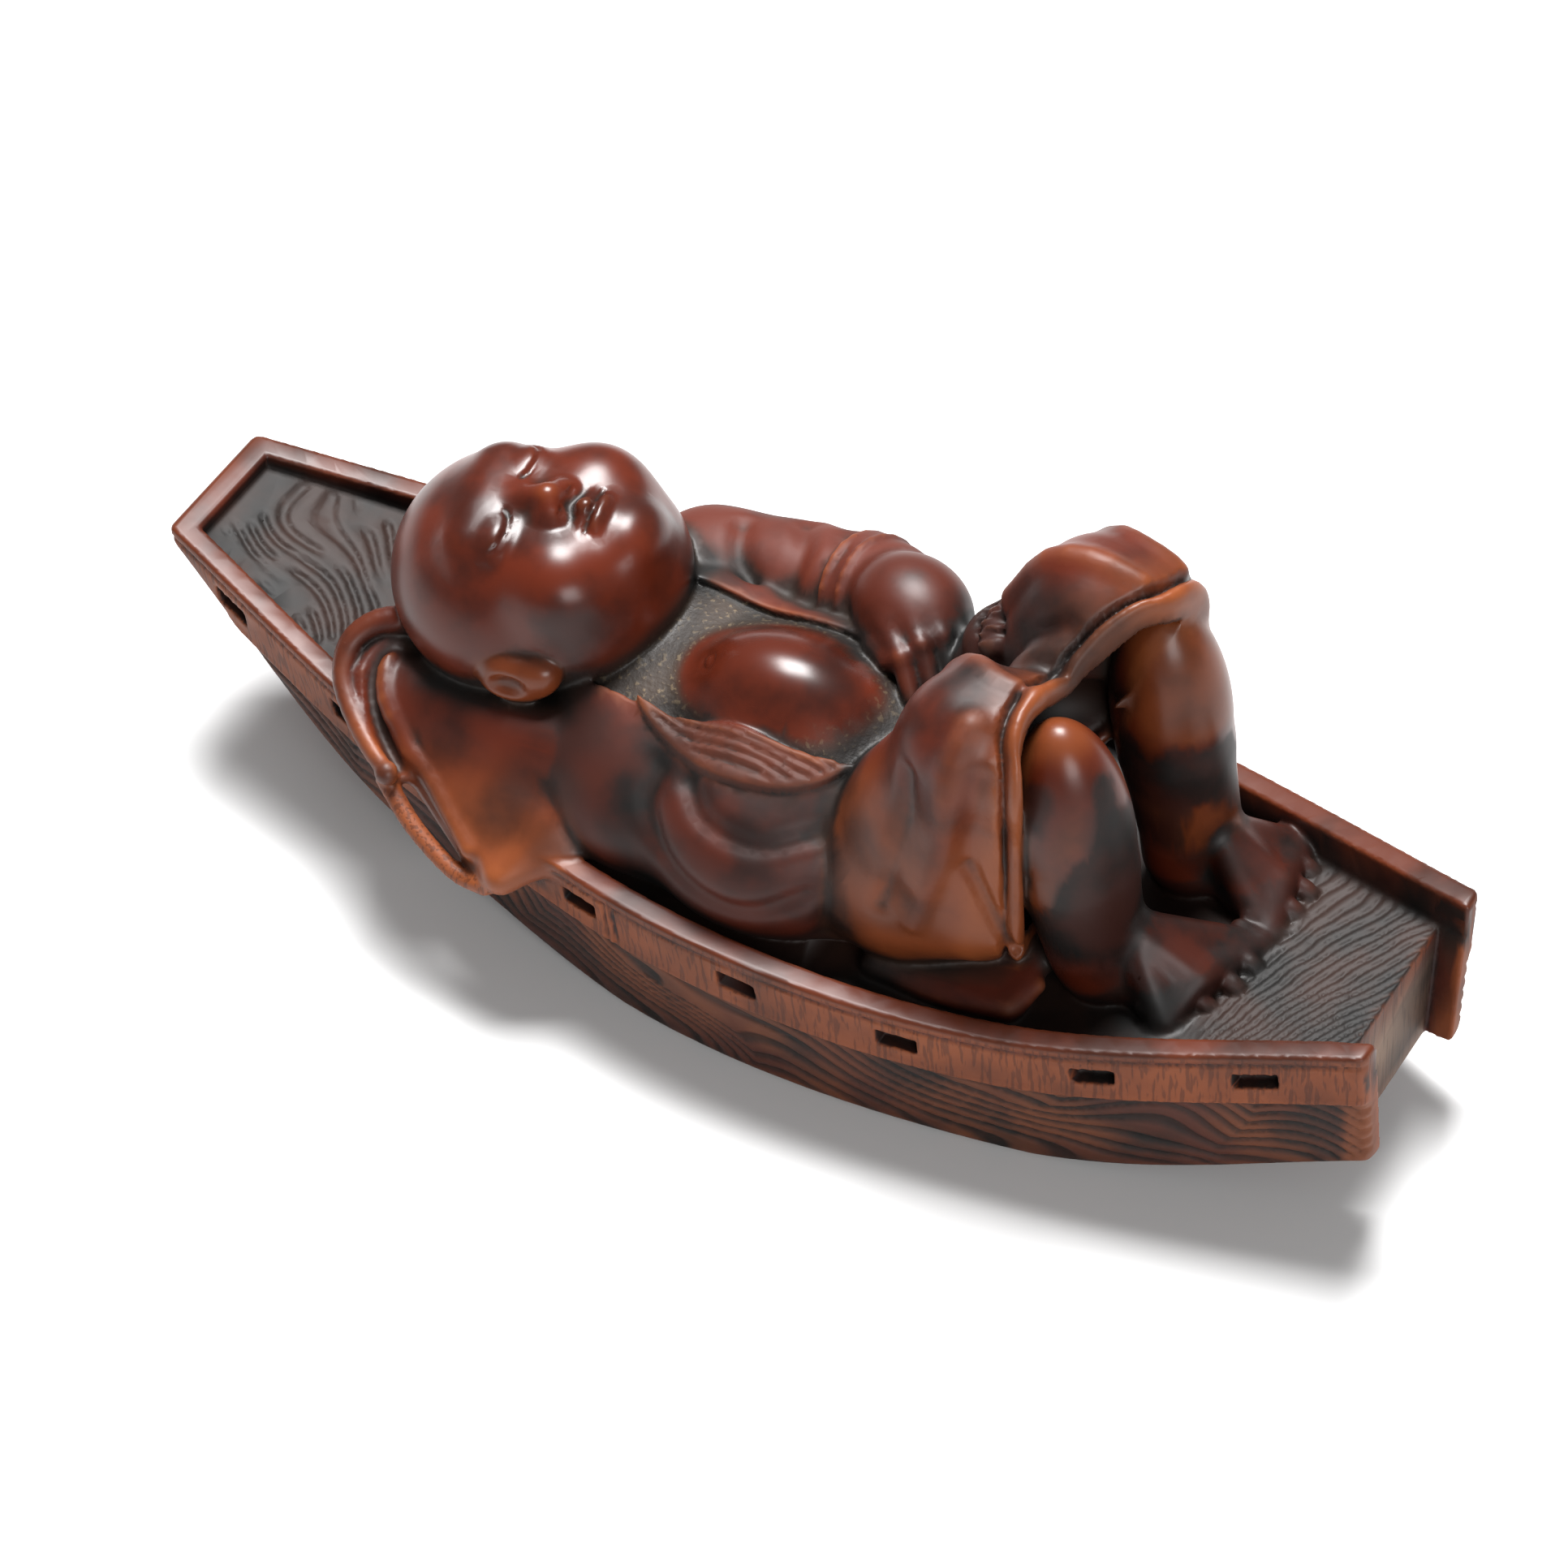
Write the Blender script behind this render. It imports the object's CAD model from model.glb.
# %% [markdown]
# # A boxwood netsuke: a stout man asleep in a river boat
# The real toggle is one block of boxwood, cut by knife and chisel, stained, and polished by hand
# and by years of wear. There is nothing to assemble, so this lesson doesn't model parts: it carves.
# The block is held as a grid of distances to the surface. Round forms are added, grooves are cut,
# and at the end the grid is turned into one mesh. That way soft swellings, crisp edges and fine
# chisel lines all live in one skin, as they do in wood.

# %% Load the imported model, which fixes place and size
import math

import bmesh
import bpy
import numpy as np
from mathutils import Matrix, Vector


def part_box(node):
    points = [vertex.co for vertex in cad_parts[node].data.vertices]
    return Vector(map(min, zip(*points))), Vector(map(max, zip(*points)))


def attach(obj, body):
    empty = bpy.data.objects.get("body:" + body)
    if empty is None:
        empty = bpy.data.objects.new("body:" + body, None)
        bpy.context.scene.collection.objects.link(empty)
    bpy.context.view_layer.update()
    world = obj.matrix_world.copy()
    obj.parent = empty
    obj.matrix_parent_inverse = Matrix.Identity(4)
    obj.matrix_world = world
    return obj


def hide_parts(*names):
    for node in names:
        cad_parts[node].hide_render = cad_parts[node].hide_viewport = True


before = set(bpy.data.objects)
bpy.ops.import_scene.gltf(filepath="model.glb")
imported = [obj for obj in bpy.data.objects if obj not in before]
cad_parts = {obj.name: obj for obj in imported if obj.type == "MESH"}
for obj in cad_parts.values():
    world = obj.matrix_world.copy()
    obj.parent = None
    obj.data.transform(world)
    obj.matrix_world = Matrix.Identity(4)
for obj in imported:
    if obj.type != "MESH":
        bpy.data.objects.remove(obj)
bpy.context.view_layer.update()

import openvdb
from mathutils import Matrix, Vector

MM = 0.001
BOX_LOW, BOX_HIGH = [np.array(corner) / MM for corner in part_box("netsuke")]
LENGTH = BOX_HIGH[0] - BOX_LOW[0]
print("Block in mm:", np.round(BOX_HIGH - BOX_LOW, 2))

# %% [markdown]
# ## The block of wood
# A distance grid is a box of numbers: negative inside the wood, positive outside, zero at the skin.
# A finer grid keeps finer chisel marks and costs memory: at 0.13 mm it holds about 16 million
# numbers. Each tool stroke only touches the small window of the grid that it can reach.

# %% The grid of distances
VOXEL = 0.13
SPACE = 0.6
FAR = 3.0
GRID_LOW = BOX_LOW - SPACE
AXES = [np.arange(low, high + SPACE, VOXEL, dtype=np.float32) for low, high in zip(GRID_LOW, BOX_HIGH)]
wood = np.full([len(axis) for axis in AXES], FAR, np.float32)
print("Grid:", wood.shape, "voxel", VOXEL, "mm")

# %% [markdown]
# ## Two strokes: add and cut
# Adding a form takes the nearer of two distances; cutting one takes it away from the wood. Where the
# two distances are almost equal, a little is filled in, which rounds the seam as rubbing would. So
# each stroke also has a softness in millimetres.

# %% Add and cut
ADD_REACH, CUT_REACH = 1.0, 0.4


def window(low, high, reach):
    """The part of the grid within reach of a box, as slices and as open coordinates."""
    slices = []
    coords = []
    for i, axis in enumerate(AXES):
        start = int(np.clip((low[i] - reach - GRID_LOW[i]) / VOXEL, 0, len(axis) - 1))
        stop = int(np.clip((high[i] + reach - GRID_LOW[i]) / VOXEL + 2, start + 1, len(axis)))
        slices.append(slice(start, stop))
        shape = [1, 1, 1]
        shape[i] = -1
        coords.append(axis[start:stop].reshape(shape))
    return tuple(slices), coords


def meet(first, second, softness):
    """The nearer of two distances, with the seam between them filled as if rubbed with a thumb."""
    overlap = np.maximum(softness - np.abs(first - second), 0) / softness
    return np.minimum(first, second) - overlap * overlap * softness / 4


def add(form, softness):
    """Leaves a form standing in the block."""
    low, high, distance = form
    slices, coords = window(low, high, softness + ADD_REACH)
    wood[slices] = meet(wood[slices], distance(*coords), softness)


def cut(form, softness):
    """Carves a form out of the block."""
    low, high, distance = form
    slices, coords = window(low, high, softness + CUT_REACH)
    wood[slices] = -meet(-wood[slices], distance(*coords), softness)


def solid_share():
    return round(float((wood < 0).mean()), 3)


print("Strokes reach", ADD_REACH, "and", CUT_REACH, "mm past a form, wood so far:", solid_share())

# %% [markdown]
# ## The shapes that a carver thinks in
# Most of a netsuke is balls, limbs and cloth: an egg shape for a belly, a tapered limb for an arm,
# a string of limbs for a rolled hem, and a thin three-cornered panel for hanging cloth. Each one
# below is a box that it fits in and a function that gives the distance to it.

# %% Points and directions
def vec(*values):
    return np.array(values, float)


def axes(along, up):
    """Three directions at right angles: along, sideways and up."""
    along, up = vec(*along), vec(*up)
    along = along / np.linalg.norm(along)
    up = up - along * (up @ along)
    up = up / np.linalg.norm(up)
    return np.array([along, np.cross(up, along), up])


UPRIGHT = np.eye(3)


def dot(parts, direction):
    return sum(part * np.float32(amount) for part, amount in zip(parts, direction))


def offset_from(point, *coords):
    return [axis - np.float32(start) for axis, start in zip(coords, point)]


print("A slanting limb's directions:", np.round(axes((1, 0, 1), (0, 0, 1)), 2).tolist())

# %% [markdown]
# ## Ball and limb
# A stretched ball serves for belly, skull and heel, and a limb with two radii for an arm or a toe.
# Seldom does one form stand alone, so they are blended with the same rounded seam as a stroke.

# %% Ball, limb and their blend
def ball(centre, radii, turn=UPRIGHT):
    centre, radii = vec(*centre), vec(*radii)
    extent = np.sqrt(((turn.T * radii) ** 2).sum(1))

    def distance(x, y, z):
        offset = offset_from(centre, x, y, z)
        near = 0
        slope = 0
        for axis, radius in zip(turn, radii):
            along = dot(offset, axis / radius)
            near = near + along * along
            slope = slope + (along / np.float32(radius)) ** 2
        near = np.sqrt(near)
        return near * (near - 1) / np.sqrt(slope + np.float32(1e-9))

    return centre - extent, centre + extent, distance


def limb(start, end, start_radius, end_radius):
    start, end = vec(*start), vec(*end)
    line = end - start
    widest = max(start_radius, end_radius)

    def distance(x, y, z):
        offset = offset_from(start, x, y, z)
        t = np.clip(dot(offset, line / (line @ line)), 0, 1)
        square = sum((part - t * np.float32(step)) ** 2 for part, step in zip(offset, line))
        return np.sqrt(square) - (np.float32(start_radius) + t * np.float32(end_radius - start_radius))

    return np.minimum(start, end) - widest, np.maximum(start, end) + widest, distance


def blend(softness, *forms):
    """Several forms as one, rubbed into each other."""
    low = np.min([form[0] for form in forms], axis=0)
    high = np.max([form[1] for form in forms], axis=0)

    def distance(x, y, z):
        result = forms[0][2](x, y, z)
        for form in forms[1:]:
            result = meet(result, form[2](x, y, z), softness)
        return result

    return low, high, distance


print("From 3 mm out to a ball of 1 mm:", round(ball((0, 0, 0), (1, 1, 1))[2](3, 0, 0), 3), "mm")

# %% [markdown]
# ## Cord and cloth
# A rolled hem or a finger is a string of limbs through a line of points. Hanging cloth is a thin
# three-cornered panel, rounded at its rim by half its thickness.

# %% Cord and cloth
def cord(points, start_radius, end_radius=None, softness=0.05):
    end_radius = start_radius if end_radius is None else end_radius
    radii = np.linspace(start_radius, end_radius, len(points))
    pieces = [limb(points[i], points[i + 1], radii[i], radii[i + 1]) for i in range(len(points) - 1)]
    return blend(softness, *pieces)


def cloth(a, b, c, thickness):
    corners = [vec(*corner) for corner in (a, b, c)]
    sides = [corners[1] - corners[0], corners[2] - corners[1], corners[0] - corners[2]]
    normal = np.cross(sides[0], sides[2])

    def distance(x, y, z):
        inside = 0
        edge = None
        for corner, side in zip(corners, sides):
            offset = offset_from(corner, x, y, z)
            inside = inside + np.sign(dot(offset, np.cross(side, normal)))
            t = np.clip(dot(offset, side / (side @ side)), 0, 1)
            square = sum((part - t * np.float32(step)) ** 2 for part, step in zip(offset, side))
            edge = square if edge is None else np.minimum(edge, square)
        face = dot(offset, normal / np.linalg.norm(normal)) ** 2
        return np.sqrt(np.where(inside < 2, edge, face)) - np.float32(thickness / 2)

    reach = thickness / 2
    return np.min(corners, axis=0) - reach, np.max(corners, axis=0) + reach, distance


print("A cord's box:", [corner.tolist() for corner in cord([(0, 0, 0), (2, 0, 0)], 0.5)[:2]])

# %% [markdown]
# ## Lines laid on a form
# A fold or an eyelid is drawn by a few points placed by hand. A smooth line is run through them and
# each point then slides along the slope of the form until it lies on the skin, like a pencil line.

# %% Smooth lines that settle on a skin
SLOPE_STEP, LONGEST_SLIDE = 0.1, 0.6


def smooth_curve(points, per_step=6):
    """A smooth line through hand-placed points."""
    points = np.array(points, float)
    padded = np.vstack([2 * points[0] - points[1], points, 2 * points[-1] - points[-2]])
    line = []
    for i in range(1, len(padded) - 2):
        p0, p1, p2, p3 = padded[i - 1:i + 3]
        for t in np.arange(per_step) / per_step:
            line.append(0.5 * (2 * p1 + (p2 - p0) * t + (2 * p0 - 5 * p1 + 4 * p2 - p3) * t ** 2
                               + (3 * p1 - p0 - 3 * p2 + p3) * t ** 3))
    line.append(points[-1])
    return np.array(line)


def settle(form, point, passes=8):
    """Moves a point along the slope of a form until it lies on its skin."""
    point = vec(*point)
    for _ in range(passes):
        around = point + np.vstack([np.eye(3), -np.eye(3)]) * SLOPE_STEP
        at = [form[2](*[np.float32(v) for v in place]) for place in around]
        slope = np.array(at[:3], float) - np.array(at[3:], float)
        here = float(form[2](*[np.float32(v) for v in point]))
        slide = np.clip(here, -LONGEST_SLIDE, LONGEST_SLIDE)
        point = point - slide * slope / (np.linalg.norm(slope) + 1e-9)
    return point


def drawn_on(form, points, radius, end_radius=None):
    """A thin line that follows the skin of a form, to be cut or added."""
    return cord([settle(form, point) for point in smooth_curve(points, 4)], radius, end_radius)


print("Settled on a ball of 1 mm:", np.round(settle(ball((0, 0, 0), (1, 1, 1)), (1.5, 0, 0)), 3).tolist())

# %% [markdown]
# ## Uneven by hand
# Nothing cut by hand is quite regular. Smooth random numbers give lines that wander and stain that
# lies unevenly. They come from a small seeded table that is blended between its entries, so the
# carving is the same each time this lesson runs.

# %% Smooth random values
NOISE_SIZE = 32
noise_table = np.random.default_rng(11).uniform(-1, 1, (NOISE_SIZE,) * 3).astype(np.float32)


def wander(x, y, z, scale):
    """Smooth random values between -1 and 1 that change over about scale millimetres."""
    cells = []
    for part in np.broadcast_arrays(x / scale, y / scale, z / scale):
        base = np.floor(part)
        t = part - base
        cells.append((base.astype(np.int64) % NOISE_SIZE, t * t * (3 - 2 * t)))
    total = 0
    for i in (0, 1):
        for j in (0, 1):
            for k in (0, 1):
                weight = 1
                for side, (_, t) in zip((i, j, k), cells):
                    weight = weight * (t if side else 1 - t)
                index = [(cell[0] + side) % NOISE_SIZE for side, cell in zip((i, j, k), cells)]
                total = total + weight * noise_table[index[0], index[1], index[2]]
    return total


def wander_flat(x, y, layer, scale):
    """The same in a plane, with a pattern of its own for each layer."""
    return wander(x, y, layer + 0 * x, scale)


def fade(value, start, end):
    """0 before start, 1 after end, smooth between."""
    t = np.clip((value - start) / (end - start), 0, 1)
    return t * t * (3 - 2 * t)


print("Random table:", noise_table.shape, "mean", round(float(noise_table.mean()), 3))

# %% [markdown]
# ## The boat's lines
# A boatbuilder draws a hull with three curves against its length: the half beam, the sheer of the
# gunwale and the line of the bottom. A batten bent through a few stations gives each one. The same
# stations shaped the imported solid, so this skin lies on it.

# %% Beam, sheer and bottom
HALF_LENGTH = LENGTH / 2
HALF_BEAM = [3.42, 7.79, 10.83, 9.6, 5.29]
SHEER = [11.55, 8.82, 8.17, 8.21, 11.0]
BOTTOM = [10.28, 2.96, 0.95, -0.3, -0.35, 0.5, 3.35]
GUNWALE_WIDTH = 1.2
STRAKE_HEIGHT = 3.26
FLARE = 0.117
STERN_INSET = 1.4
PORT_LENGTH, PORT_HEIGHT, PORT_DEPTH = 1.8, 0.95, 0.8
FIRST_PORT, PORT_PITCH, PORT_DROP = -26.23, 7.41, 1.73
PORT_SHIFT = [0, 0, 0, -0.75, 0, 0, 0.95, 0]
LINE_STEPS = 60
DECK_DEPTH, DECK_DEPTH_GAIN, LEVEL_FROM = 0.7, 1.05, -2
SLOPE_SPAN = 0.2


def batten(values):
    stations = np.linspace(-HALF_LENGTH, HALF_LENGTH, len(values))
    line = smooth_curve([(station, value) for station, value in zip(stations, values)], LINE_STEPS)
    return lambda x: np.interp(x, line[:, 0], line[:, 1]).astype(np.float32)


half_beam = batten(HALF_BEAM)
sheer = batten(SHEER)
keel = batten(BOTTOM)


def bottom(x):
    return np.maximum(keel(x), 0)


def deck(x):
    return sheer(x) - (DECK_DEPTH + DECK_DEPTH_GAIN * fade(x, -HALF_LENGTH, LEVEL_FROM))


def steepness(line, x):
    """How much a line's slope stretches the distance measured straight across it."""
    rise = line(x + SLOPE_SPAN) - line(x - SLOPE_SPAN)
    return np.sqrt(1 + (rise / (2 * SLOPE_SPAN)) ** 2)


print("Beam amidships:", round(2 * float(half_beam(0)), 2), "mm")

# %% [markdown]
# ## Wood grain as a carver draws it
# The plank grain is not the boxwood's own, which is far too fine to see. The carver cut it with the
# point of a knife: black flowing lines that run along a plank, drift apart and meet again. Here they
# are the contour lines of a slowly changing surface, pinched into narrow grooves.

# %% Grooves that follow flowing grain
LINES_PER_MM, DIVE = 1.35, 0.4


def grain_groove(phase, width):
    """1 at the middle of each line of the phase's whole numbers, 0 beyond the line's width."""
    away = np.abs(phase - np.round(phase))
    return 1 - fade(away, 0.35 * width, width)


def side_grain(x, depth):
    """Grain on the hull's side below the strake: lines that dive towards the stern and fork."""
    drift = 1.2 * wander_flat(x, depth, 0, 8.0) + 0.12 * wander_flat(x, depth, 3, 2.4)
    fork = np.abs(wander_flat(x, 1.6 * depth, 8, 5.5))
    return grain_groove(depth * LINES_PER_MM - x * DIVE + drift + fork * 3.4, 0.3)


def deck_grain(x, y):
    """Swirls on the bow deck, nothing under the sleeper, and lines across the stern deck that fan out."""
    swirl = 2.2 * wander_flat(x, y, 0, 4.5)
    broken = fade(wander_flat(x, y, 7, 1.4), -0.35, 0.1)
    bow = grain_groove(x * 0.9 + y * 1.1 + swirl, 0.3) * (1 - fade(x, -18, -14)) * broken
    uneven = wander_flat(x, y, 9, 3.2) + 0.25 * wander_flat(x, y, 2, 1.1)
    fan = x * 2.1 - 0.14 * y * (x - 19) + uneven
    stern = 0.75 * grain_groove(fan, 0.28) * fade(x, 20.5, 23)
    return bow + stern


print("Grain lines in a millimetre of plank:", LINES_PER_MM)

# %% [markdown]
# ## The hull
# The hull is the space inside four skins: two flared sides, the bottom and the sheer. A raised
# strake runs below the gunwale with a fine groove along its top and a swelling along its lower edge.
# Because the strake, the groove, the grain and the joint between two planks are only a few tenths of
# a millimetre deep, they are written into the side's own distance, which costs nothing extra.

# %% Hull, strake and plank grain
STRAKE_STEP = 0.14
GRAIN_DEPTH = 0.16
BEAD_DEPTH, BEAD_WIDTH, BEAD_CUT = 0.62, 0.16, 0.12
LIP_ABOVE_EDGE, LIP_SWELL = 0.28, 0.06
BOTTOM_EDGE, SHEER_EDGE, END_EDGE = 0.5, 0.25, 0.35
SCARF_JOINT = (-3.3, -2.85)
SCARF_WIDTH, SCARF_DEPTH = 0.13, 0.16


def hull_distance(x, y, z):
    top = sheer(x)
    depth = (top - z) / steepness(sheer, x)
    side = np.abs(y) - (half_beam(x) - FLARE * (top - z))
    side = side / steepness(half_beam, x)
    below = fade(depth, STRAKE_HEIGHT - 0.06, STRAKE_HEIGHT + 0.06)
    side = side + STRAKE_STEP * below
    side = side + BEAD_CUT * (1 - fade(np.abs(depth - BEAD_DEPTH), 0.05, BEAD_WIDTH))
    side = side - LIP_SWELL * (1 - fade(np.abs(depth - STRAKE_HEIGHT + LIP_ABOVE_EDGE), 0.08, 0.22))
    for joint in SCARF_JOINT:
        seam = (1 - below) * (depth > BEAD_DEPTH) * (1 - fade(np.abs(x - joint), 0.05, SCARF_WIDTH))
        side = side + SCARF_DEPTH * seam
    side = side + GRAIN_DEPTH * below * side_grain(x, depth) * fade(z - bottom(x), 0.3, 0.9)
    floor = (bottom(x) - z) / steepness(bottom, x)
    shell = -meet(-side, -floor, BOTTOM_EDGE)
    shell = -meet(-shell, depth, SHEER_EDGE)
    return -meet(-shell, HALF_LENGTH - np.abs(x), END_EDGE)


def hull():
    low = vec(-HALF_LENGTH, -max(HALF_BEAM), 0)
    return low, vec(HALF_LENGTH, max(HALF_BEAM), max(SHEER)), hull_distance


add(hull(), 0.01)
print("Hull stands, solid share", solid_share())

# %% [markdown]
# ## Deck and transom
# The deck is sunk between the gunwales, least at the bow, and its grain is cut into the floor of the
# recess. At the stern the transom is set in, so that the side planks run on past it.

# %% Deck and transom
def recess_distance(x, y, z):
    inner = half_beam(x) - GUNWALE_WIDTH
    wall = (np.abs(y) - inner) / steepness(half_beam, x)
    floor = deck(x) - GRAIN_DEPTH * deck_grain(x, y) * fade(inner - np.abs(y), 0.1, 0.5) - z
    bow = -HALF_LENGTH + GUNWALE_WIDTH - x
    return -meet(-np.maximum(wall, bow), -floor, 0.12)


def deck_recess():
    beam = max(HALF_BEAM)
    return vec(-HALF_LENGTH, -beam, 5.5), vec(HALF_LENGTH + SPACE, beam, max(SHEER) + SPACE), recess_distance


def transom_distance(x, y, z):
    inner = half_beam(x) - GUNWALE_WIDTH + 0.05
    wall = (np.abs(y) - inner + FLARE * (sheer(x) - z)) / steepness(half_beam, x)
    return np.maximum(wall, HALF_LENGTH - STERN_INSET - x)


def transom_recess():
    beam = HALF_BEAM[-1] + 1
    start = HALF_LENGTH - STERN_INSET
    return vec(start, -beam, 0), vec(HALF_LENGTH + SPACE, beam, max(SHEER) + SPACE), transom_distance


cut(deck_recess(), 0.15)
cut(transom_recess(), 0.12)
print("Deck amidships lies", round(float(sheer(0) - deck(0)), 2), "mm below the gunwale")

# %% [markdown]
# ## Ports
# Square ports are chopped into the strake with a chisel. They were spaced by eye, so two of them
# stand a little off the even pitch, and they lean with the sheer.

# %% Ports
def port(middle, side):
    y_side = side * (half_beam(middle) - FLARE * PORT_DROP)
    z_middle = sheer(middle) - PORT_DROP
    slope = (sheer(middle + 1) - sheer(middle - 1)) / 2
    reach = PORT_LENGTH

    def distance(x, y, z):
        along = np.abs(x - middle) - PORT_LENGTH / 2
        across = np.abs(z - z_middle - slope * (x - middle)) - PORT_HEIGHT / 2
        deep = half_beam(x) - FLARE * PORT_DROP - side * y - PORT_DEPTH
        return np.maximum(np.maximum(along, across), deep)

    centre = vec(middle, y_side, z_middle)
    return centre - reach, centre + reach, distance


for number, shift in enumerate(PORT_SHIFT):
    for side in (-1, 1):
        cut(port(FIRST_PORT + number * PORT_PITCH + shift, side), 0.04)
print("Ports cut:", 2 * len(PORT_SHIFT))

# %% [markdown]
# ## The cord channel
# A netsuke hangs from a cord that passes through a bent tunnel. The larger mouth takes the knot, and
# the smaller one lets the cord out.

# %% Cord channel
CORD_HOLES = [(-5, 2.2), (5, 1.5)]
CHANNEL_DEPTH = 3.4


def cord_channel():
    """The tunnel under the boat for the cord, from a large hole that hides the knot to a small one."""
    (large, mouth_radius), (small, radius) = CORD_HOLES
    middle = ((large + small) / 2, 0, CHANNEL_DEPTH - 0.4)
    path = [(large, 0, -1), (large + 0.5, 0, 1.4), middle, (small - 0.5, 0, 1.4), (small, 0, -1)]
    return blend(0.3, cord(smooth_curve(path, 4), radius), ball((large, 0, -0.2), [mouth_radius] * 3))


cut(cord_channel(), 0.15)
print("Boat carved, solid share", solid_share())

# %% [markdown]
# ## The sleeper's head
# The head is the largest smooth form and takes the most polish. It lies face up with the chin
# towards the stern. Everything is placed in the head's own directions, chinward, left and out, so
# that the head can be tilted without moving a feature. Cheeks, chin and brow are balls and a limb
# rubbed into the skull, since a carver too leaves them standing.

# %% Skull
HEAD = vec(-12.2, -0.4, 14.4)
HEAD_TURN = axes((0.95, 0.19, 0.17), (-0.1, -0.14, 1))


def on_head(chinward, left, out):
    return HEAD + chinward * HEAD_TURN[0] + left * HEAD_TURN[1] + out * HEAD_TURN[2]


def head_ball(place, radii):
    return ball(on_head(*place), radii, HEAD_TURN)


def skull():
    parts = [
        head_ball((-0.9, 0, 0), (5.6, 5.5, 5.4)),
        head_ball((2.7, 0, 0), (4.1, 5.0, 4.4)),
        head_ball((5.0, 0, 2.6), (1.5, 2.0, 1.6)),
        limb(on_head(-1.2, -2.2, 4.2), on_head(-1.2, 2.2, 4.2), 0.95, 0.95),
    ]
    for side in (-1, 1):
        parts.append(head_ball((2.5, side * 2.5, 2.5), (2.4, 2.3, 2.25)))
    return blend(1.1, *parts)


print("Head along, across and up in mm:", np.round(skull()[1] - skull()[0], 1))

# %% [markdown]
# ## The face
# The face follows the plain rules of the drawing books: eyes halfway down, one eye's width apart,
# nose and mouth in the thirds below, ears between brow and nose. The sleeper's lids are closed, so
# an eye is one low ball.

# %% Nose, lips, lids and brows
EYE_LINE, EYE_SIDE = 0.15, 2.05
NOSE_BASE, MOUTH_LINE = 2.75, 3.75


def nose():
    bridge = limb(on_head(-0.4, 0, 4.65), on_head(1.9, 0, 5.15), 0.42, 0.66)
    wings = [head_ball((NOSE_BASE - 0.55, side * 0.75, 4.75), (0.6, 0.52, 0.52)) for side in (-1, 1)]
    return blend(0.5, bridge, *wings)


def lips():
    peak = on_head(MOUTH_LINE - 0.2, 0, 4.75)
    upper = [limb(peak, on_head(MOUTH_LINE - 0.05, side * 1.25, 4.1), 0.34, 0.16) for side in (-1, 1)]
    lower = head_ball((MOUTH_LINE + 0.38, 0, 4.42), (0.34, 0.95, 0.42))
    return blend(0.25, *upper, lower)


def eyelid(side):
    return head_ball((EYE_LINE, side * EYE_SIDE, 4.3), (0.8, 1.2, 0.95))


def brow(side):
    arch = [on_head(-1.35, side * 0.9, 4.95), on_head(-1.75, side * 2.1, 4.6), on_head(-1.4, side * 3.3, 3.7)]
    return cord(arch, 0.3)


print("Middles of the eyes are", 2 * EYE_SIDE, "mm apart")

# %% [markdown]
# ## Ears, and the lines of the face
# An ear is a shell with a lobe that is hollowed later. Lashes, mouth and nostrils are the last
# strokes on the head: thin lines that settle on the finished face and are cut with a fine point.

# %% Ears and face lines
FACE_LINE = 0.12


def ear(side):
    shell = head_ball((0.7, side * 5.35, -0.5), (1.75, 0.85, 1.3))
    lobe = head_ball((2.0, side * 5.2, -0.2), (0.85, 0.75, 0.85))
    return blend(0.5, shell, lobe)


def ear_hollow(side):
    return head_ball((0.5, side * 6.25, -0.3), (0.95, 0.55, 0.65))


def face():
    return blend(0.5, skull(), nose(), lips(), eyelid(-1), eyelid(1), brow(-1), brow(1))


def face_lines(form):
    lash = [[on_head(EYE_LINE + 0.45 * math.cos(t), side * EYE_SIDE + 1.15 * math.sin(t), 5.0)
             for t in (-1.35, -0.7, 0, 0.7, 1.35)] for side in (-1, 1)]
    mouth = [on_head(MOUTH_LINE + 0.12 - 0.1 * t * t, 1.15 * t, 4.7 - 0.4 * t * t)
             for t in (-1, -0.5, 0, 0.5, 1)]
    under_nose = NOSE_BASE - 0.1
    nostrils = [[on_head(under_nose, side * 0.45, 5.0), on_head(under_nose, side * 0.8, 4.9)]
                for side in (-1, 1)]
    return [drawn_on(form, points, FACE_LINE) for points in [*lash, mouth, *nostrils]]


def head():
    return blend(0.25, face(), ear(-1), ear(1))


print("Ear to ear:", round(float(ear(1)[1][1] - ear(-1)[0][1]), 1), "mm")

# %% [markdown]
# ## Trunk and belly
# The trunk is five balls: chest, near flank, waist, belly and hips. A sixth and tilted one is the
# bare belly that swells out of the robe. The nipple is a fine ring scratched into the chest.

# %% Trunk and belly
NIPPLE = vec(-2.5, -2.3, 15.4)
NIPPLE_RADIUS = 0.42


def trunk():
    return blend(
        1.2,
        ball((-4.6, 0.2, 10.0), (6.4, 7.3, 4.6)),
        ball((-4.2, -4.6, 9.2), (4.4, 3.9, 3.2)),
        ball((1.6, -1.0, 9.6), (7.2, 8.2, 5.0)),
        ball((2.0, -0.4, 11.0), (6.3, 5.4, 4.5)),
        ball((7.0, -0.4, 9.6), (5.6, 6.6, 4.6)),
    )


def belly():
    return ball((0.6, -1.3, 12.6), (4.9, 3.3, 4.1), axes((1, 0.05, 0.1), (0, -0.1, 1)))


def nipple_ring():
    """A fine ring scratched into the chest."""
    turns = np.linspace(0, 2 * math.pi, 13)
    ring = [NIPPLE + NIPPLE_RADIUS * vec(math.cos(t), math.sin(t), 0) for t in turns]
    return cord([settle(belly(), point) for point in ring], 0.09)


print("Trunk along, across and up in mm:", np.round(trunk()[1] - trunk()[0], 1))

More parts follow.
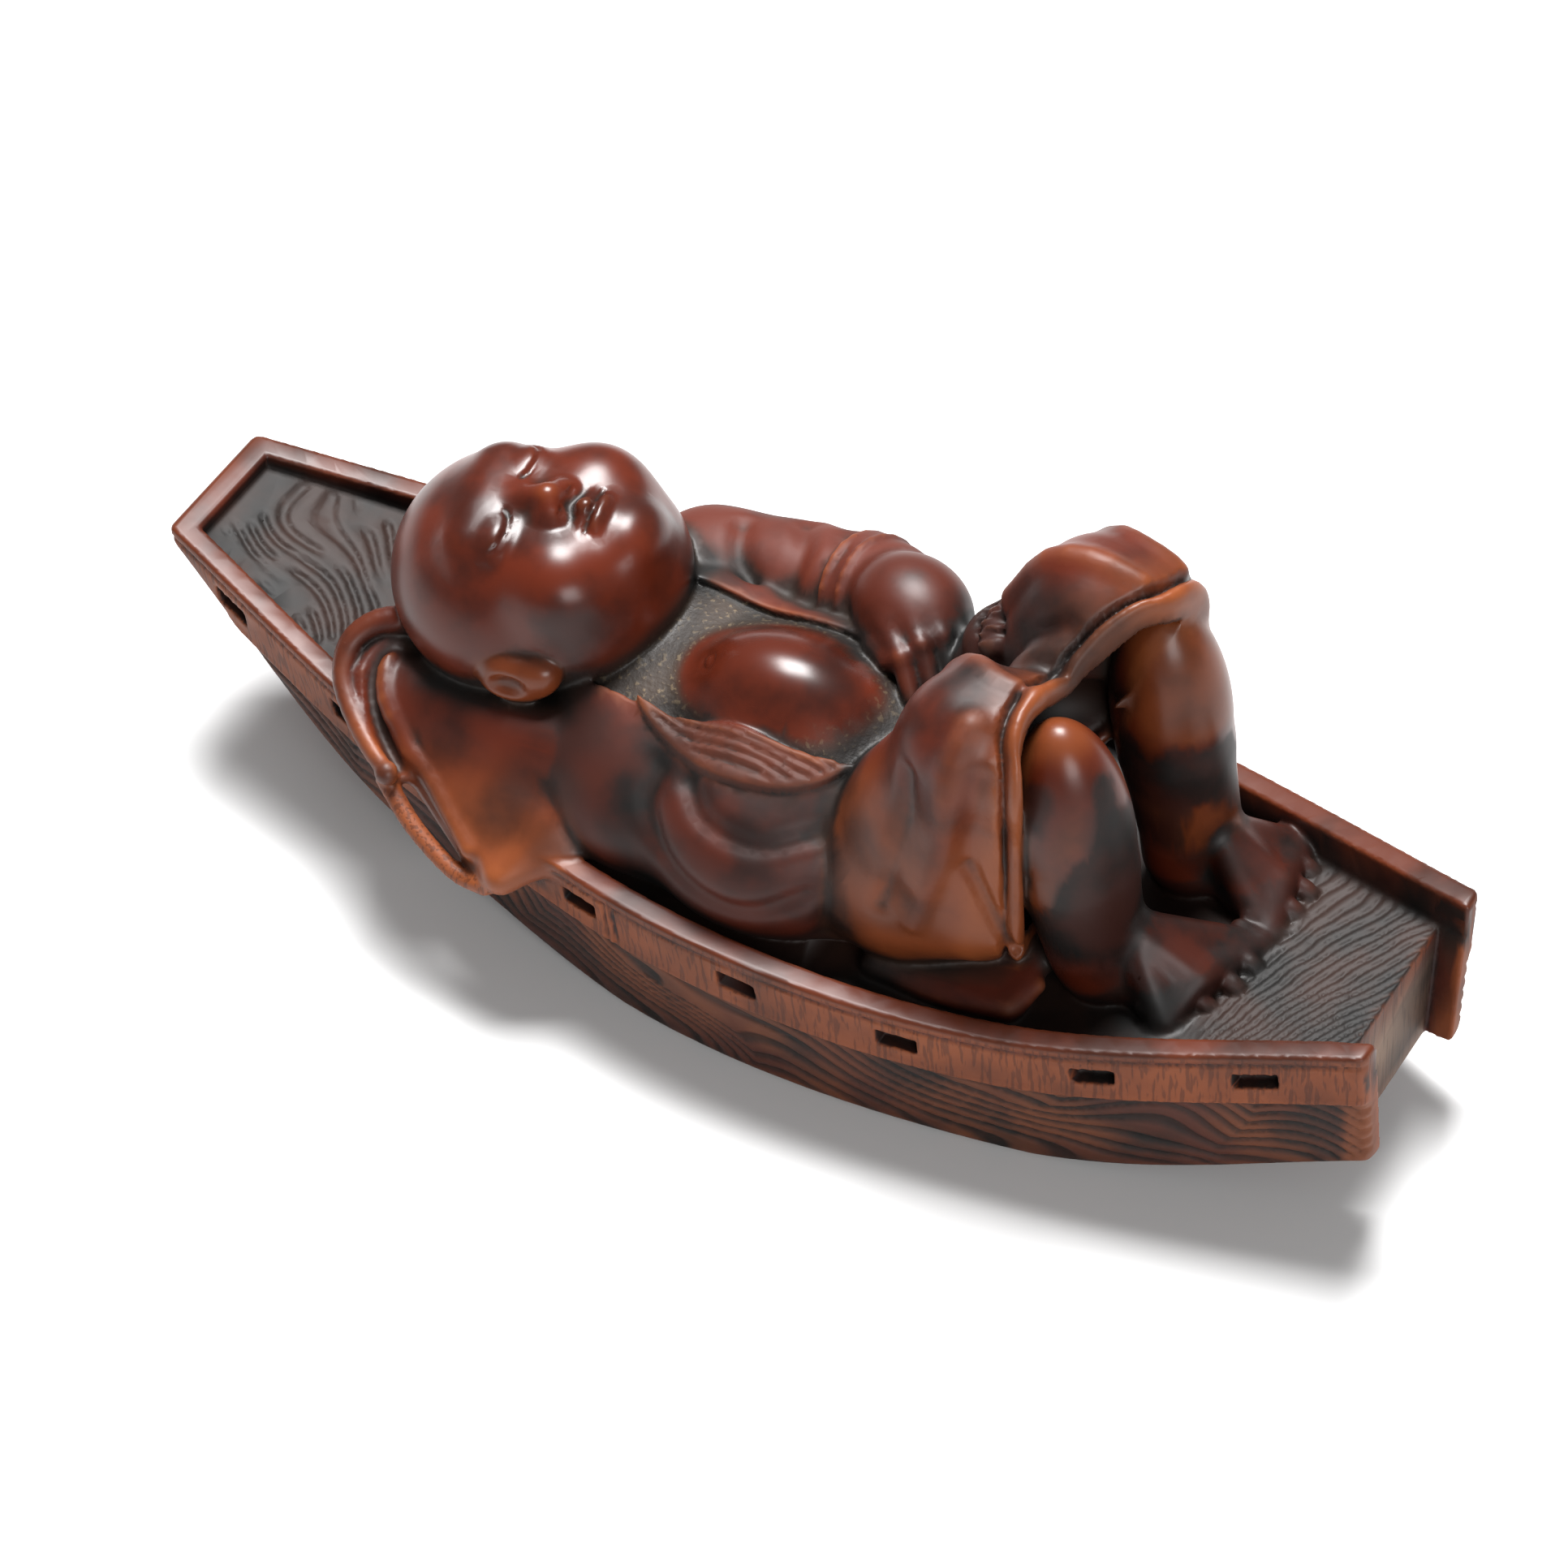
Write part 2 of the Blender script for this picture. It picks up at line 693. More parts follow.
# %% [markdown]
# ## Where the robe opens
# A robe is straight panels that cross in front and are held by a sash. On this sleeper they have
# slipped apart. The two edges of the opening, and the edge of the turned-out lapel below the near
# one, are drawn in plan: each line gives a place across the boat for every place along it.

# %% Lines of the opening
FAR_OPENING = [(-9.5, 3.0), (-6.5, 2.5), (-4.3, 2.3), (-0.2, 2.2), (2.3, 2.0), (6, 1.0), (8, -1.5)]
NEAR_OPENING = [(-9.5, -3.8), (-5.5, -4.4), (-3, -4.7), (-0.2, -4.8), (2.9, -4.6), (5.8, -3.8), (8, -2.0)]
LAPEL = [(-9.5, -3.0), (-5.5, -4.1), (-3.8, -5.2), (-1.0, -6.3), (1.1, -6.6), (3.5, -6.0), (5.4, -4.2),
         (8, 0)]


def plan_line(points):
    line = smooth_curve(points)
    return lambda x: np.interp(x, line[:, 0], line[:, 1]).astype(np.float32)


far_opening, near_opening, lapel_edge = plan_line(FAR_OPENING), plan_line(NEAR_OPENING), plan_line(LAPEL)
print("The robe stands open by", round(float(far_opening(0) - near_opening(0)), 1), "mm over the belly")

# %% [markdown]
# ## Robe and lapel
# The robe is a layer of even thickness over the trunk, which ends at two of these lines. The lapel
# is a thicker layer below the near edge, with a flowing pattern cut into it. Folds are shallow
# grooves laid on the cloth, which follow the way it is pulled.

# %% Robe, lapel and folds
ROBE_THICKNESS, LAPEL_THICKNESS, LAPEL_PATTERN = 0.4, 0.68, 0.11
FLANK_FOLDS = [
    [(-2.6, -6.9, 13.4), (-2.3, -7.6, 11.6), (-0.4, -8.4, 10.2), (2.8, -8.6, 9.6), (5.4, -7.9, 10.6)],
    [(-0.9, -7.0, 13.4), (0.6, -7.8, 12.4), (3.2, -8.0, 12.3), (5.6, -7.0, 13.4)],
    [(5.6, -6.8, 8.2), (6.3, -7.2, 10.4), (6.5, -6.8, 12.8), (6.6, -5.6, 15.0)],
]


def robe(body):
    """Cloth of even thickness over the trunk, open between its far and near edges."""
    low, high, distance = body

    def layer(x, y, z):
        opening = np.minimum(far_opening(x) - y, y - near_opening(x))
        return -meet(np.float32(ROBE_THICKNESS) - distance(x, y, z), -opening, 0.2)

    return low - ROBE_THICKNESS, high + ROBE_THICKNESS, layer


def lapel(body):
    """The turned-out lining below the near edge, with a flowing pattern cut into it."""
    low, high, distance = body

    def layer(x, y, z):
        flow = (y - near_opening(x)) * 2.4 + 0.9 * wander(x, y, z, 1.9) + 0.3 * x
        pattern = grain_groove(flow, 0.32) * fade(lapel_edge(x) - y, -0.25, -0.5)
        thickness = LAPEL_THICKNESS - LAPEL_PATTERN * pattern
        across = np.maximum(y - near_opening(x) - 0.1, lapel_edge(x) - y) * 0.8
        return -meet(np.float32(thickness) - distance(x, y, z), -across, 0.15)

    return low - LAPEL_THICKNESS, high + LAPEL_THICKNESS, layer


print("Cloth of", ROBE_THICKNESS, "mm, lapel of", LAPEL_THICKNESS, "mm, folds:", len(FLANK_FOLDS))

# %% [markdown]
# ## Far arm and hand
# The far arm lies along the body under its sleeve, and the cuff carries two rolled rings. The hand
# rests on the belly. It is a palm, a thumb and four fingers of three points each, rubbed into each
# other so far that only grooves part them.

# %% Far arm and hand
SLEEVE_FOLDS = [
    [(-5.8, 6.0, 15.0), (-5.0, 4.4, 14.6), (-3.2, 3.0, 13.8)],
    [(-3.4, 7.4, 15.0), (-2.6, 5.6, 15.5), (-2.3, 3.8, 14.6)],
    [(-1.3, 7.2, 15.6), (-0.8, 5.4, 15.9), (-1.0, 3.6, 14.8)],
]
CUFF_AXIS, CUFF_RADIUS, CUFF_ROLL = (0.93, -0.1, 0.36), 2.68, 0.24
CUFF_RINGS = [(0.3, 5.85, 13.4), (1.2, 5.7, 13.75)]


def far_arm():
    shoulder = ball((-6.6, 5.2, 11.3), (3.8, 3.2, 3.5))
    sleeve = cord([(-7, 5.5, 11.5), (-2.6, 6.1, 12.5), (0.6, 5.8, 13.4)], 3.0, 2.6)
    cuff = limb((0.6, 5.8, 13.5), (1.5, 5.6, 13.9), 2.85, 2.65)
    return blend(0.7, shoulder, sleeve, cuff)


def cuff_ring(place):
    centre, turn = vec(*place), axes(CUFF_AXIS, (0, 0, 1))
    angles = np.linspace(0, 2 * math.pi, 25)
    ring = [centre + CUFF_RADIUS * (math.cos(t) * turn[1] + math.sin(t) * turn[2]) for t in angles]
    return cord(ring, CUFF_ROLL)


def far_hand():
    palm = ball((3.5, 4.5, 15.3), (3.0, 2.5, 2.3), axes((0.75, -0.4, 0.05), (0.1, 0.1, 1)))
    thumb = cord([(2.4, 3.0, 15.2), (3.3, 1.9, 15.3), (4.2, 1.3, 15.4)], 0.72, 0.5, 0.2)
    fingers = []
    for i in (-1.5, -0.5, 0.5, 1.5):
        knuckle = (4.2 + 0.5 * i, 3.7 + 0.78 * i, 16.5 - 0.18 * i * i)
        joint = (5.5 + 0.5 * i, 2.6 + 0.8 * i, 16.2 - 0.16 * i * i)
        tip = (6.6 + 0.5 * i, 1.6 + 0.85 * i, 15.1 - 0.12 * i * i)
        fingers.append(cord([knuckle, joint, tip], 0.54, 0.4, 0.25))
    return blend(0.4, palm, thumb, blend(0.3, *fingers))


print("Sleeve folds:", len(SLEEVE_FOLDS), "cuff rings:", len(CUFF_RINGS))

# %% [markdown]
# ## Near arm and wide sleeve
# The near arm is folded back under the head. Its wide sleeve spreads over the gunwale and ends in a
# corner outside the boat, which is what makes the netsuke lively from the side. Spread cloth is a
# few panels that share corners, and its rolled rims are cords.

# %% Folded arm and wide sleeve
SLEEVE_CORNER = (-7.9, -11.3, 7.2)
SLEEVE_LIP = [(-17.0, -5.4, 11.2), (-15.6, -7.2, 10.2), (-12.8, -9.1, 9.0), (-10.0, -10.6, 7.7),
              SLEEVE_CORNER]
SLEEVE_UNDER = [(-15.0, -9.2, 8.3), (-13.0, -10.2, 7.3), (-10.6, -10.9, 6.4), (-8.9, -11.1, 6.4)]
SLEEVE_BACK = [(-16.4, -3.4, 12.2), (-18.2, -4.2, 11.9), (-19.0, -5.4, 11.2), (-18.5, -6.8, 10.2),
               (-16.6, -8.3, 9.4), (-14.7, -9.4, 9.0)]
SLEEVE_MOUTH = [(-15.8, -4.0, 12.4), (-17.4, -5.2, 11.6), (-17.2, -6.6, 10.6), (-15.8, -8.0, 9.6),
                (-13.4, -9.4, 8.6), (-10.4, -10.9, 7.2)]


def near_arm():
    lip_top, shoulder, edge = (-16.4, -5.4, 10.6), (-5.2, -5.4, 10.9), (-5.9, -8.8, 7.9)
    inner_corner = (-8.2, -10.7, 7.1)
    return blend(
        0.7,
        cord([(-5.0, -5.0, 10.0), (-10.0, -5.6, 9.8), (-15.0, -5.4, 9.4)], 2.7, 2.0),
        cord([(-15.6, -5.4, 9.4), (-17.2, -2.5, 9.0), (-15.5, 1.5, 8.8)], 1.9, 1.8),
        ball((-10.2, -6.6, 8.6), (5.2, 2.8, 2.2), axes((0.9, -0.4, -0.1), (-0.1, -0.5, 1))),
        cloth(lip_top, inner_corner, shoulder, 1.3),
        cloth(inner_corner, shoulder, edge, 1.3),
        cloth((-14.8, -7.6, 8.6), (-9.0, -10.4, 6.4), (-8.0, -7.6, 7.4), 1.3),
        cord([(-17.6, -4.0, 10.6), (-17.9, -5.8, 10.0), (-16.4, -7.4, 9.2), (-14.8, -8.6, 8.6)], 1.1, 0.7),
    )


print("The sleeve's corner is", SLEEVE_CORNER[2], "mm above the table")

# %% [markdown]
# ## Raised knees
# The robe is drawn tight over both thighs and sags a little between the knees. Each thigh is a
# string of limbs that ends past the knee, and one more string joins the two knees. Low ridges and
# shallow folds run down from the knees, where the cloth is stretched.

# %% Thighs and knees
NEAR_KNEE, NEAR_KNEE_FRONT = (11.3, -3.7, 18.5), (12.7, -3.6, 18.7)
FAR_KNEE, FAR_KNEE_FRONT = (13.0, 3.8, 20.5), (14.4, 4.0, 20.4)
THIGH_RIDGES = [
    [(9.8, -2.0, 19.6), (11.4, -2.6, 21.4), (13.3, -2.7, 21.5)],
    [(11.9, -5.0, 20.9), (11.6, -6.4, 18.8), (11.5, -7.2, 16.0), (11.0, -7.8, 13.0), (10.4, -8.0, 10.8)],
    [(9.8, 3.4, 19.6), (12.0, 3.5, 22.8), (15.0, 3.6, 23.5)],
    [(11.4, 6.0, 20.6), (13.2, 5.8, 22.4), (15.6, 5.6, 22.2)],
]
THIGH_FOLDS = [
    [(9.9, -6.2, 18.6), (9.8, -7.2, 16.4), (9.4, -7.8, 13.8), (8.9, -8.0, 11.4)],
    [(12.9, -5.6, 19.4), (12.8, -6.6, 16.8), (12.7, -7.0, 14.6)],
    [(9.4, 0.4, 18.4), (11.2, 0.9, 20.2), (13.0, 1.6, 21.6)],
    [(9.0, -1.2, 17.0), (11.0, -0.9, 19.2), (13.2, -0.6, 20.2)],
]


def thighs():
    return blend(
        1.0,
        cord([(7.4, -3.2, 9.8), (9.6, -3.7, 13.6), NEAR_KNEE], 4.5, 3.1, 0.6),
        limb(NEAR_KNEE, NEAR_KNEE_FRONT, 3.1, 2.9),
        cord([(7.4, 3.4, 10.2), (10.4, 3.8, 15.4), FAR_KNEE], 4.2, 3.0, 0.6),
        limb(FAR_KNEE, FAR_KNEE_FRONT, 3.0, 2.8),
        cord([NEAR_KNEE_FRONT, (12.9, 0, 18.6), FAR_KNEE_FRONT], 2.5),
        cord([(8.8, -3.5, 9.8), (11.2, -3.6, 10.6)], 4.0, 3.6),
        cloth((9.6, -5.8, 9.5), (12.9, -4.7, 18.2), (13.8, -5.5, 10.6), 2.0),
    )


print("The far knee is", FAR_KNEE[2] - NEAR_KNEE[2], "mm higher than the near one")

# %% [markdown]
# ## Rolled hem
# The hem runs over the far knee, dips, crosses the near knee and falls beside the shin. It can't be
# a cord laid on top, which would gape where the cloth turns. It is part of the cloth's own distance,
# a swelling near the line where the cloth ends and a groove just behind it. The cloth is then
# hollowed from the front.

# %% Hem, and the hollow under it
# Where the cloth ends towards the feet, as steps of (across the boat, along the boat)
HEM_REACH = [(-9, 15.2), (-6.2, 14.6), (-5, 13.9), (-3.2, 13.6), (-0.5, 13.9), (0.8, 14.4), (2.4, 15.4),
             (4, 16.4), (8, 16.9)]
HEM_WIDTH, HEM_END, HEM_ROLL, HEM_GROOVE = 0.7, 0.2, 0.3, 0.34
SKIRT_THICKNESS, SKIRT_HOLLOW = 0.6, 2.6
SLIT = [(12.9, -7.4, 14.6), (13.4, -7.2, 12.9), (14.0, -6.9, 11.4), (14.6, -6.5, 10.2)]


def hem_reach(y):
    line = smooth_curve(HEM_REACH)
    return np.interp(y, line[:, 0], line[:, 1]).astype(np.float32)


def ended_at_hem(form):
    """The cloth stops at a rolled hem with a groove behind it, and the shins come out of it."""
    low, high, distance = form

    def layer(x, y, z):
        past = x - hem_reach(y)
        roll = HEM_ROLL * (1 - fade(np.abs(past), 0.1, 0.55))
        groove = HEM_GROOVE * (1 - fade(np.abs(past + HEM_WIDTH), 0.04, 0.24))
        return -meet(roll - groove - distance(x, y, z), HEM_END - past, 0.3)

    return low, high, layer


def under_the_hem(form):
    """The space that the cloth leaves open in front of the knees."""
    low, high, distance = form

    def space(x, y, z):
        return np.maximum(distance(x, y, z) + SKIRT_THICKNESS, hem_reach(y) - SKIRT_HOLLOW - x)

    return low, high, space


def between_the_knees():
    """The cloth is open underneath where it sags from one knee to the other."""
    return ball((13.7, 1.0, 15.9), (3.1, 2.8, 2.0))


print("Cloth of", SKIRT_THICKNESS, "mm, hollowed", SKIRT_HOLLOW, "mm deep behind the hem's line")

# %% [markdown]
# ## Shins and feet
# The bare shins come out of the hollow and stand on the deck. A shin is a long ball with a limb down
# to the ankle. A foot is a heel, a ridge along the instep and flat sides that fall to the deck, and
# five toes stand before it in a curved row.

# %% Shins, feet and toes
# Each foot: heel, the two ends of the instep's ridge, and both ends of the row of toes
FEET = [
    ((16.8, -2.9, 8.0), (17.9, -2.8, 10.2), (20.9, -2.4, 8.3), (20.4, -4.4, 7.2), (22.0, 1.0, 7.3)),
    ((17.2, 4.2, 8.0), (18.2, 4.0, 10.0), (21.4, 3.8, 8.2), (22.0, 1.9, 7.3), (20.9, 6.9, 7.3)),
]
TOE_COUNT = 5
TOE_RADIUS, TOE_RISE = 0.46, 0.16


def near_shin():
    return blend(0.6, ball((15.3, -3.0, 15.0), (2.7, 2.5, 5.8), axes((1, 0, 0.12), (-0.1, 0, 1))),
                 limb((15.6, -3.0, 12.6), (16.4, -3.0, 9.0), 2.5, 2.2))


def far_shin():
    return blend(0.6, ball((16.0, 4.3, 16.0), (2.6, 2.5, 5.6), axes((1, 0, 0.1), (-0.1, 0, 1))),
                 limb((16.3, 4.3, 13.6), (17.0, 4.3, 9.2), 2.4, 2.2))


def foot(heel, ridge_start, ridge_end, first_toe, last_toe):
    """A wedge with a ridge along the instep and flat sides that fall to the deck."""
    planes = [cloth(start, end, toe, 1.3) for toe in (first_toe, last_toe)
              for start, end in ((ridge_start, ridge_end), (heel, ridge_start))]
    planes.append(cloth(ridge_end, first_toe, last_toe, 1.2))
    return blend(0.5, ball(heel, (2.2, 2.2, 2.0)), limb(ridge_start, ridge_end, 0.85, 0.5), *planes)


def toes(first_toe, last_toe):
    first, last = vec(*first_toe), vec(*last_toe)
    forms = []
    for i in range(TOE_COUNT):
        t = i / (TOE_COUNT - 1)
        middle = first + (last - first) * t + vec(0.9 * math.sin(math.pi * t), 0, 0)
        middle[2] = float(deck(middle[0])) + TOE_RISE
        line = [middle - vec(0.9, 0, -0.25), middle, middle + vec(0.25, 0, -0.15)]
        forms.append(cord(line, TOE_RADIUS, TOE_RADIUS, 0.1))
    return forms


print("Toes:", TOE_COUNT * len(FEET))

# %% [markdown]
# ## Loose cloth
# The end of the robe is spread flat on the deck under the near thigh. The end of the sash is bunched
# between the hand and the far knee, where a few strokes of the knife turn two balls into cloth.

# %% Robe tail and sash end
SASH_CUTS = 9


def robe_tail():
    """The end of the robe, spread flat on the deck under the near thigh."""
    edge = smooth_curve([(7.8, -7.1, 6.5), (11.4, -7.3, 6.6), (14.2, -6.6, 6.8), (14.9, -5.2, 7.2)], 4)
    return blend(
        0.5,
        cloth((8.2, -6.8, 6.6), (14.2, -6.6, 6.8), (14.4, -3.6, 7.4), 1.1),
        cloth((8.2, -6.8, 6.6), (14.4, -3.6, 7.4), (9.0, -4.2, 7.4), 1.1),
        cord(edge, 0.3),
    )


def sash_end():
    """The bunched end of the sash between the hand and the far knee."""
    return blend(0.5, ball((8.2, 3.4, 17.0), (1.3, 1.8, 1.2)), ball((9.2, 2.9, 18.5), (1.2, 1.9, 1.0)))


def sash_cuts(form):
    """Short strokes of the knife along the bunched cloth."""
    strokes = []
    for i in range(SASH_CUTS):
        y = 1.2 + 0.42 * i
        lean = 0.3 * (-1) ** i
        strokes.append(drawn_on(form, [(7.0, y - lean, 18.6), (8.4, y, 19.2), (9.8, y + lean, 20.4)], 0.15))
    return strokes


print("Strokes on the sash:", SASH_CUTS)

# %% [markdown]
# ## Carving the trunk and the robe
# So far the figure's forms are only described. Now they are carved, the deepest layer first. Where
# two forms grow into each other the seam is rounded by some tenths of a millimetre, and where cloth
# has an edge by almost nothing. A fold is a groove with wide, soft shoulders that runs out at its end.

# %% Carve trunk and robe
FIGURE_SEAM = 0.3
FOLD_WIDTH, FOLD_END, FOLD_SOFTNESS = 0.16, 0.02, 1.0


def fold(form, points):
    """A soft groove along the pull of the cloth, which runs out at its end."""
    cut(drawn_on(form, points, FOLD_WIDTH, FOLD_END), FOLD_SOFTNESS)


body = trunk()
cloth_body = robe(body)
cloth_skin = (body[0], body[1], lambda x, y, z: body[2](x, y, z) - ROBE_THICKNESS)
cloth_lapel = lapel(body)
add(body, FIGURE_SEAM)
add(cloth_body, 0.05)
for points in FLANK_FOLDS:
    fold(cloth_skin, points)
add(cloth_lapel, 0.05)
add(belly(), 1.0)
cut(nipple_ring(), 0.1)
print("Trunk carved, solid share", solid_share())

# %% [markdown]
# ## Carving the sleeves
# The far sleeve gets its folds and the rings of its cuff. The near one gets a rolled rim above, below
# and behind, and the mouth of the sleeve is cut last, as a deep line along the rim.

# %% Carve both sleeves
near_sleeve, far_sleeve = near_arm(), far_arm()
add(far_sleeve, FIGURE_SEAM)
for points in SLEEVE_FOLDS:
    fold(far_sleeve, points)
for place in CUFF_RINGS:
    add(cuff_ring(place), 0.1)
add(near_sleeve, FIGURE_SEAM)
add(drawn_on(near_sleeve, SLEEVE_LIP[:-1], 0.42), 0.35)
add(cord(smooth_curve(SLEEVE_UNDER, 4), 0.42, 0.36), 0.3)
add(cord(smooth_curve(SLEEVE_BACK, 4), 0.62, 0.4), 0.2)
add(ball(SLEEVE_BACK[-1], (0.55, 0.55, 0.55)), 0.1)
cut(cord(smooth_curve(SLEEVE_MOUTH, 4), 0.4, 0.22), 0.2)
print("Sleeves carved, solid share", solid_share())

# %% [markdown]
# ## Carving the legs
# The cloth over the knees goes in as one form and is hollowed from the front. The shins go in after
# that, so the hollow doesn't reach them.

# %% Carve legs
cloth_over_knees = ended_at_hem(thighs())
shin_pair = [near_shin(), far_shin()]
add(cloth_over_knees, 0.15)
for points in THIGH_RIDGES:
    add(drawn_on(thighs(), points, 0.42, 0.05), 1.0)
for points in THIGH_FOLDS:
    fold(thighs(), points)
cut(under_the_hem(thighs()), 0.2)
cut(between_the_knees(), 0.3)
for shin in shin_pair:
    add(shin, FIGURE_SEAM)
cut(drawn_on(thighs(), SLIT, 0.36), 0.25)
print("Legs carved, solid share", solid_share())

# %% [markdown]
# ## Carving feet, hand and head
# Tail, sash and feet follow. The hand lies on belly and cloth, and the head on the folded arm, so
# they come last, and the fine lines of the face after everything else.

# %% Carve feet, hand and head
tail, sash, hand = robe_tail(), sash_end(), far_hand()
add(tail, FIGURE_SEAM)
add(sash, 0.15)
for stroke in sash_cuts(sash):
    cut(stroke, 0.05)
for parts in FEET:
    add(foot(*parts), 0.35)
    for toe in toes(*parts[3:]):
        add(toe, 0.1)
add(hand, 0.2)
add(head(), FIGURE_SEAM)
for line in face_lines(face()):
    cut(line, 0.1)
for side in (-1, 1):
    cut(ear_hollow(side), 0.25)
print("Figure carved, solid share", solid_share())

# %% [markdown]
# ## From grid to skin
# The zero level of the grid is read off as a mesh, with about one point for each cell of the grid
# that the skin passes through.

# %% Read the skin off the grid
def skin_of(grid):
    volume = openvdb.FloatGrid(FAR)
    volume.copyFromArray(grid)
    points, triangles, quads = volume.convertToPolygons(isovalue=0.0, adaptivity=0.0)
    points = (points * VOXEL + GRID_LOW) * MM
    faces = [tuple(face[::-1]) for face in triangles.tolist() + quads.tolist()]
    mesh = bpy.data.meshes.new("netsuke_carving")
    mesh.from_pydata(points.tolist(), [], faces)
    mesh.update()
    return mesh


carving_mesh = skin_of(wood)
print("Faces from the grid:", len(carving_mesh.polygons))

# %% [markdown]
# ## One block, one skin
# Carving in numbers can leave crumbs and sealed pockets, which no real knife leaves. Each has a
# loose skin of its own, so every skin but the largest is dropped.

# %% Drop crumbs and sealed pockets
def keep_one_skin(mesh):
    """Drops sealed pockets and crumbs: every loose skin but the largest."""
    work = bmesh.new()
    work.from_mesh(mesh)
    unseen = set(work.verts)
    skins = []
    while unseen:
        front = [unseen.pop()]
        found = list(front)
        while front:
            linked = {edge.other_vert(vert) for vert in front for edge in vert.link_edges} & unseen
            unseen -= linked
            front = list(linked)
            found += front
        skins.append(found)
    skins.sort(key=len)
    loose = [vert for found in skins[:-1] for vert in found]
    bmesh.ops.delete(work, geom=loose, context="VERTS")
    work.to_mesh(mesh)
    work.free()
    print("Loose skins dropped:", len(skins) - 1)


keep_one_skin(carving_mesh)

# %% [markdown]
# ## A lighter mesh
# A fine grid gives more faces than the carving needs on its smooth parts, so the mesh is thinned
# where it is flat and left dense where the knife was busy.

# %% Thin the mesh
FACE_LIMIT = 195000


def link(mesh, name):
    piece = bpy.data.objects.new(name, mesh)
    bpy.context.scene.collection.objects.link(piece)
    return piece


def thin(piece, limit):
    """Collapses the flattest edges until the mesh has no more triangles than the limit."""
    count = sum(len(face.vertices) - 2 for face in piece.data.polygons)
    if count > limit:
        modifier = piece.modifiers.new("thin", "DECIMATE")
        modifier.ratio = limit / count
        graph = bpy.context.evaluated_depsgraph_get()
        thinned = bpy.data.meshes.new_from_object(piece.evaluated_get(graph))
        piece.modifiers.clear()
        piece.data = thinned
    return count


carving = link(carving_mesh, "netsuke_carving")
raw_count = thin(carving, FACE_LIMIT)
carving.data.polygons.foreach_set("use_smooth", [True] * len(carving.data.polygons))
print("Triangles from the grid:", raw_count, "faces after thinning:", len(carving.data.polygons))

# %% [markdown]
# ## Its place in the model
# The netsuke is one piece that never moves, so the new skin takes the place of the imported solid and
# rides on the model's only body.

# %% Hand the skin its place in the model
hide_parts("netsuke")
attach(carving, "root")
print("The skin", carving.name, "stands for the packed node netsuke")

# %% [markdown]
# ## Where stain and wear lie
# A stained netsuke is dark where the stain pools and light where hands rub. So the finish follows
# the carving: the share of wood around a point tells a hollow from a ridge, small around a thin
# edge and large deep in a fold. The chest, the deck, the strake and the rest each have their own
# base, which a distance to the form that made them picks out.

# %% Share of wood around each point of the skin
def box_blur(values, cells):
    for axis in range(3):
        pad = [(0, 0)] * 3
        pad[axis] = (cells + 1, cells)
        total = np.cumsum(np.pad(values, pad), axis, dtype=np.float64)
        count = values.shape[axis]
        ahead = np.take(total, np.arange(count) + 2 * cells + 1, axis)
        behind = np.take(total, np.arange(count), axis)
        values = ((ahead - behind) / (2 * cells + 1)).astype(np.float32)
    return values


def sample(values, places):
    """Values between the cells of a grid, at places given in cells."""
    base = np.clip(np.floor(places).astype(int), 0, np.array(values.shape) - 2)
    t = np.clip(places - base, 0, 1)
    total = 0
    for corner in np.ndindex(2, 2, 2):
        weight = np.prod(np.where(corner, t, 1 - t), axis=1)
        total = total + weight * values[tuple((base + corner).T)]
    return total


def share_of_wood(radius):
    """0.5 on a flat skin, less on a ridge, more in a hollow, within about a radius in mm."""
    step = max(1, int(radius / (2 * VOXEL)))
    solid = np.clip(0.5 - wood[::step, ::step, ::step] / (VOXEL * step), 0, 1)
    cells = max(1, round(radius / (VOXEL * step) / 1.5))
    blurred = box_blur(box_blur(solid, cells), cells)
    return sample(blurred, (skin - GRID_LOW) / (VOXEL * step)).astype(np.float32)


count = len(carving.data.vertices)
skin = np.empty(count * 3, np.float32)
carving.data.vertices.foreach_get("co", skin)
skin = skin.reshape(-1, 3) / MM
x, y, z = skin.T.copy()
fine_share, middle_share, deep_share = share_of_wood(0.3), share_of_wood(0.9), share_of_wood(2.4)
spread = [round(float(np.std(share)), 3) for share in (fine_share, middle_share, deep_share)]
print("Spread of each share of wood:", spread)

# %% [markdown]
# ## Regions of the carving
# A carver knows what each spot of the skin is: chest, sleeve, plank or port. Here the distance to the
# form that made it tells. Each region is a number for every point of the skin, 1 inside it and 0
# outside, with a short fade between so that no colour ends in a jagged line.

# %% Regions of the boat
def near(form, reach):
    """1 on the skin of a form, 0 at more than a reach from it."""
    return 1 - fade(form[2](x, y, z), 0.3 * reach, reach)


inner = half_beam(x) - GUNWALE_WIDTH
depth = (sheer(x) - z) / steepness(sheer, x)
above_deck = z - deck(x)
outward = np.abs(y) - (half_beam(x) - FLARE * depth)
figure_forms = [body, cloth_body, cloth_lapel, near_sleeve, far_sleeve, hand, cloth_over_knees, tail, head()]
on_figure = near(blend(0.01, *figure_forms, *shin_pair), 0.8) * (above_deck > 0.1)
in_port = (1 - on_figure) * (outward < -0.1) * (outward > -1) * (np.abs(depth - PORT_DROP) < 0.6)
on_side = fade(outward, -0.75, -0.55) * (1 - on_figure) * fade(depth, 0.1, 0.3)
on_strake = on_side * (1 - fade(depth, STRAKE_HEIGHT - 0.05, STRAKE_HEIGHT + 0.05))
on_planks = on_side - on_strake
on_strake = on_strake * (1 - in_port)
transom_half = inner - FLARE * (sheer(x) - z)
on_transom = (x > HALF_LENGTH - STERN_INSET - 0.4) * (x < HALF_LENGTH - STERN_INSET + 0.4)
